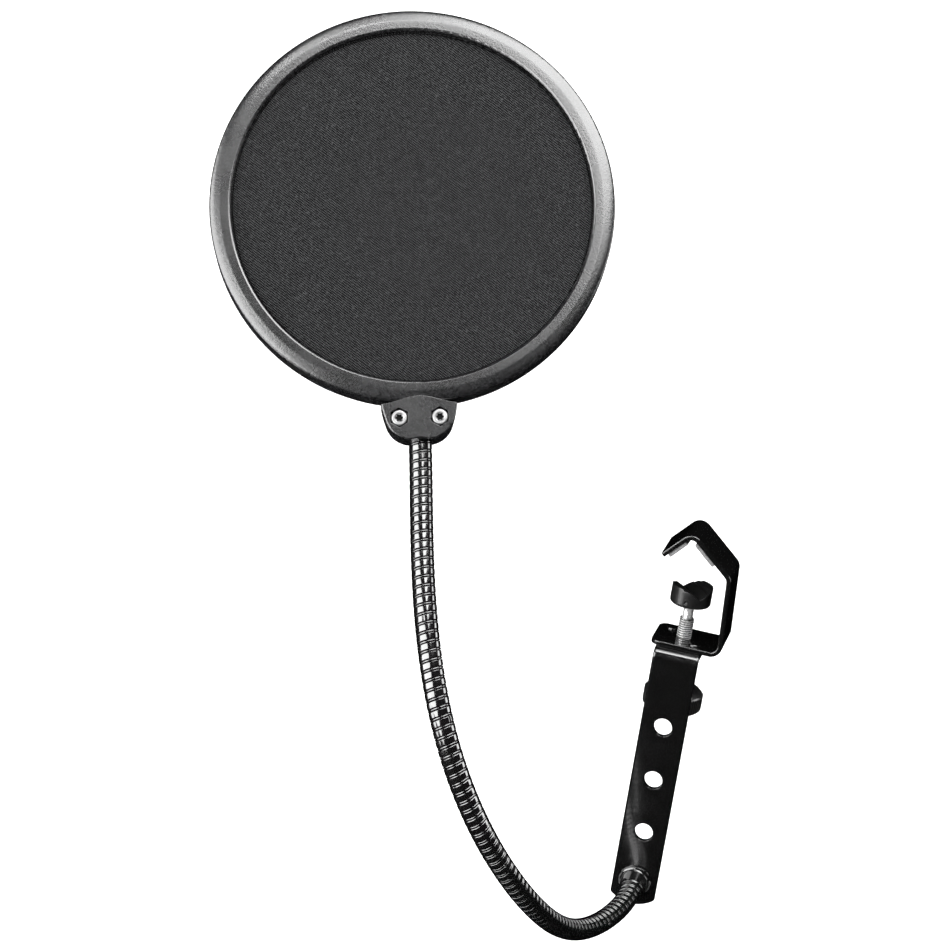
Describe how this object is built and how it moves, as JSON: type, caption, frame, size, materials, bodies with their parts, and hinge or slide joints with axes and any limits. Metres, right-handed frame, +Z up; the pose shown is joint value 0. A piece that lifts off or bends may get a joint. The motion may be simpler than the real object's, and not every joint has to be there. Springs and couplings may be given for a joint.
{
  "type": "pop filter",
  "caption": "Round two-layer fabric screen in a plastic frame on a self-holding gooseneck, with a strap and a screw clamp that grips a microphone stand tube",
  "frame": {"origin": "the middle of the tube that the clamp's jaw grips, on the clamp screw's axis", "axes": "+Z up along the strap and the clamp screw, -Y to the front along the gripped tube, +X to the right, towards the C bracket's wall"},
  "size_m": [0.2856, 0.2023, 0.4515],
  "materials": {
    "frame_plastic": "moulded ABS, satin black with a fine eroded grain",
    "hoop_plastic": "moulded ABS, plain black",
    "screen_fabric": "charcoal woven nylon, fine diagonal twill, stretched flat",
    "bare_steel": "bright zinc-plated steel",
    "black_lacquer": "bent steel strip, glossy black lacquer",
    "jaw_pad": "light grey pad, matt",
    "zinc_steel": "rolled thread, bright zinc plate",
    "knob_plastic": "moulded black plastic, satin",
    "neck_steel": "wound steel strip and wire, glossy black finish"
  },
  "bodies": {
    "clamp": {"clamp_bracket": "black_lacquer", "strap_bracket": "black_lacquer", "rivets": "black_lacquer", "jaw_pad_left": "jaw_pad", "jaw_pad_right": "jaw_pad", "neck_ferrule": "black_lacquer", "neck_link_01": "neck_steel"},
    "link_02": {"neck_link_02": "neck_steel"},
    "link_03": {"neck_link_03": "neck_steel"},
    "link_04": {"neck_link_04": "neck_steel"},
    "link_05": {"neck_link_05": "neck_steel"},
    "link_06": {"neck_link_06": "neck_steel"},
    "link_07": {"neck_link_07": "neck_steel"},
    "link_08": {"neck_link_08": "neck_steel"},
    "link_09": {"neck_link_09": "neck_steel"},
    "link_10": {"neck_link_10": "neck_steel"},
    "link_11": {"neck_link_11": "neck_steel"},
    "link_12": {"neck_link_12": "neck_steel"},
    "link_13": {"neck_link_13": "neck_steel"},
    "link_14": {"neck_link_14": "neck_steel"},
    "link_15": {"neck_link_15": "neck_steel"},
    "link_16": {"neck_link_16": "neck_steel"},
    "link_17": {"neck_link_17": "neck_steel"},
    "link_18": {"neck_link_18": "neck_steel"},
    "link_19": {"neck_link_19": "neck_steel"},
    "link_20": {"neck_link_20": "neck_steel"},
    "link_21": {"neck_link_21": "neck_steel"},
    "link_22": {"neck_link_22": "neck_steel"},
    "link_23": {"neck_link_23": "neck_steel"},
    "screen": {"front_frame": "frame_plastic", "rear_frame": "frame_plastic", "front_fabric": "screen_fabric", "rear_fabric": "screen_fabric", "front_hoop": "hoop_plastic", "rear_hoop": "hoop_plastic", "spacer_ring": "hoop_plastic", "neck_end_plug": "bare_steel", "lug_screws": "bare_steel", "lug_nuts": "bare_steel", "neck_link_24": "neck_steel"},
    "cap_carrier": {"cap_snap_ring": "bare_steel"},
    "screw": {"clamp_screw": "zinc_steel", "clamp_knob": "knob_plastic"},
    "cap": {"pressure_cap": "knob_plastic"}
  },
  "joints": [
    {"name": "neck_lower_bend", "type": "hinge", "parent": "clamp", "child": "link_02", "pos_m": [-0.00157, -0.04596, -0.17721], "axis": [0.9872, -0.1592, -0.0119], "range_deg": [-4, 12]},
    {"name": "neck_lower_sway", "type": "hinge", "parent": "link_02", "child": "link_03", "pos_m": [-0.00517, -0.0618, -0.17778], "axis": [0.0148, 0.0171, 0.9997], "range_deg": [-8, 8]},
    {"name": "neck_lower_bend_03", "type": "hinge", "parent": "link_03", "child": "link_04", "pos_m": [-0.00967, -0.07737, -0.17655], "axis": [0.9584, -0.2855, -0.0047], "range_deg": [-4.1, 12.1]},
    {"name": "neck_lower_sway_04", "type": "hinge", "parent": "link_04", "child": "link_05", "pos_m": [-0.01431, -0.09255, -0.17308], "axis": [0.0855, 0.2714, 0.9587], "range_deg": [-8.1, 8.1]},
    {"name": "neck_lower_bend_05", "type": "hinge", "parent": "link_05", "child": "link_06", "pos_m": [-0.01877, -0.10708, -0.16733], "axis": [0.9544, -0.2987, 0.0002], "range_deg": [-4.1, 12.1]},
    {"name": "neck_lower_sway_06", "type": "hinge", "parent": "link_06", "child": "link_07", "pos_m": [-0.02314, -0.12075, -0.15971], "axis": [0.1529, 0.4891, 0.8587], "range_deg": [-8.1, 8.1]},
    {"name": "neck_lower_bend_07", "type": "hinge", "parent": "link_07", "child": "link_08", "pos_m": [-0.0277, -0.13349, -0.15069], "axis": [0.9389, -0.3426, 0.0319], "range_deg": [-4.1, 12.1]},
    {"name": "neck_lower_sway_08", "type": "hinge", "parent": "link_08", "child": "link_09", "pos_m": [-0.03271, -0.1452, -0.1406], "axis": [0.2011, 0.6218, 0.7569], "range_deg": [-8.1, 8.1]},
    {"name": "neck_middle_bend", "type": "hinge", "parent": "link_09", "child": "link_10", "pos_m": [-0.03833, -0.15575, -0.12958], "axis": [0.9019, -0.4177, 0.1104], "range_deg": [-5, 12]},
    {"name": "neck_middle_sway", "type": "hinge", "parent": "link_10", "child": "link_11", "pos_m": [-0.04463, -0.16489, -0.1177], "axis": [0.2606, 0.7299, 0.632], "range_deg": [-8, 8]},
    {"name": "neck_middle_bend_11", "type": "hinge", "parent": "link_11", "child": "link_12", "pos_m": [-0.05159, -0.17229, -0.10502], "axis": [0.8424, -0.4877, 0.2291], "range_deg": [-5.1, 12.1]},
    {"name": "neck_middle_sway_12", "type": "hinge", "parent": "link_12", "child": "link_13", "pos_m": [-0.05908, -0.17758, -0.09161], "axis": [0.3552, 0.8224, 0.4444], "range_deg": [-8.1, 8.1]},
    {"name": "neck_middle_bend_13", "type": "hinge", "parent": "link_13", "child": "link_14", "pos_m": [-0.06687, -0.18048, -0.07765], "axis": [0.7718, -0.5192, 0.3671], "range_deg": [-5.1, 12.1]},
    {"name": "neck_middle_sway_14", "type": "hinge", "parent": "link_14", "child": "link_15", "pos_m": [-0.07468, -0.18085, -0.06341], "axis": [0.4759, 0.8545, 0.2079], "range_deg": [-8.1, 8.1]},
    {"name": "neck_middle_bend_15", "type": "hinge", "parent": "link_15", "child": "link_16", "pos_m": [-0.08224, -0.17885, -0.04916], "axis": [0.7164, -0.5072, 0.4791], "range_deg": [-5.1, 12.1]},
    {"name": "neck_middle_sway_16", "type": "hinge", "parent": "link_16", "child": "link_17", "pos_m": [-0.08934, -0.17481, -0.03511], "axis": [0.578, 0.8161, -0.0002], "range_deg": [-8.1, 8.1]},
    {"name": "neck_upper_bend", "type": "hinge", "parent": "link_17", "child": "link_18", "pos_m": [-0.0959, -0.16917, -0.02135], "axis": [0.6881, -0.4839, 0.5407], "range_deg": [-10, 10]},
    {"name": "neck_upper_sway", "type": "hinge", "parent": "link_18", "child": "link_19", "pos_m": [-0.10193, -0.16231, -0.00789], "axis": [0.6392, 0.757, -0.1358], "range_deg": [-8, 8]},
    {"name": "neck_upper_bend_19", "type": "hinge", "parent": "link_19", "child": "link_20", "pos_m": [-0.10747, -0.15462, 0.00532], "axis": [0.6792, -0.4721, 0.562], "range_deg": [-10.1, 10.1]},
    {"name": "neck_upper_sway_20", "type": "hinge", "parent": "link_20", "child": "link_21", "pos_m": [-0.11259, -0.14638, 0.01837], "axis": [0.6676, 0.7155, -0.2058], "range_deg": [-8.1, 8.1]},
    {"name": "neck_upper_bend_21", "type": "hinge", "parent": "link_21", "child": "link_22", "pos_m": [-0.11737, -0.13788, 0.03138], "axis": [0.682, -0.4771, 0.5543], "range_deg": [-10.1, 10.1]},
    {"name": "neck_upper_sway_22", "type": "hinge", "parent": "link_22", "child": "link_23", "pos_m": [-0.12192, -0.12939, 0.04449], "axis": [0.672, 0.7078, -0.2176], "range_deg": [-8.1, 8.1]},
    {"name": "neck_upper_bend_23", "type": "hinge", "parent": "link_23", "child": "screen", "pos_m": [-0.12635, -0.12122, 0.05783], "axis": [0.6954, -0.5007, 0.5155], "range_deg": [-10.1, 10.1]},
    {"name": "screw_travel", "type": "slide", "parent": "clamp", "child": "cap_carrier", "axis": [0, 0, 1], "range_m": [-0.016, 0.008]},
    {"name": "screw_turn", "type": "hinge", "parent": "cap_carrier", "child": "screw", "pos_m": [0, 0, -0.024], "axis": [0, 0, 1], "range_deg": [-4609, 2305]},
    {"name": "cap_swivel", "type": "hinge", "parent": "cap_carrier", "child": "cap", "pos_m": [0, 0, -0.017], "axis": [0, 0, 1], "continuous": true}
  ],
  "couplings": [
    {"joint": "neck_lower_bend_03", "follows": "neck_lower_bend", "ratio": 1},
    {"joint": "neck_lower_sway_04", "follows": "neck_lower_sway", "ratio": 1},
    {"joint": "neck_lower_bend_05", "follows": "neck_lower_bend", "ratio": 1},
    {"joint": "neck_lower_sway_06", "follows": "neck_lower_sway", "ratio": 1},
    {"joint": "neck_lower_bend_07", "follows": "neck_lower_bend", "ratio": 1},
    {"joint": "neck_lower_sway_08", "follows": "neck_lower_sway", "ratio": 1},
    {"joint": "neck_middle_bend_11", "follows": "neck_middle_bend", "ratio": 1},
    {"joint": "neck_middle_sway_12", "follows": "neck_middle_sway", "ratio": 1},
    {"joint": "neck_middle_bend_13", "follows": "neck_middle_bend", "ratio": 1},
    {"joint": "neck_middle_sway_14", "follows": "neck_middle_sway", "ratio": 1},
    {"joint": "neck_middle_bend_15", "follows": "neck_middle_bend", "ratio": 1},
    {"joint": "neck_middle_sway_16", "follows": "neck_middle_sway", "ratio": 1},
    {"joint": "neck_upper_bend_19", "follows": "neck_upper_bend", "ratio": 1},
    {"joint": "neck_upper_sway_20", "follows": "neck_upper_sway", "ratio": 1},
    {"joint": "neck_upper_bend_21", "follows": "neck_upper_bend", "ratio": 1},
    {"joint": "neck_upper_sway_22", "follows": "neck_upper_sway", "ratio": 1},
    {"joint": "neck_upper_bend_23", "follows": "neck_upper_bend", "ratio": 1},
    {"joint": "screw_turn", "follows": "screw_travel", "rad_per_m": 5026.5}
  ]
}
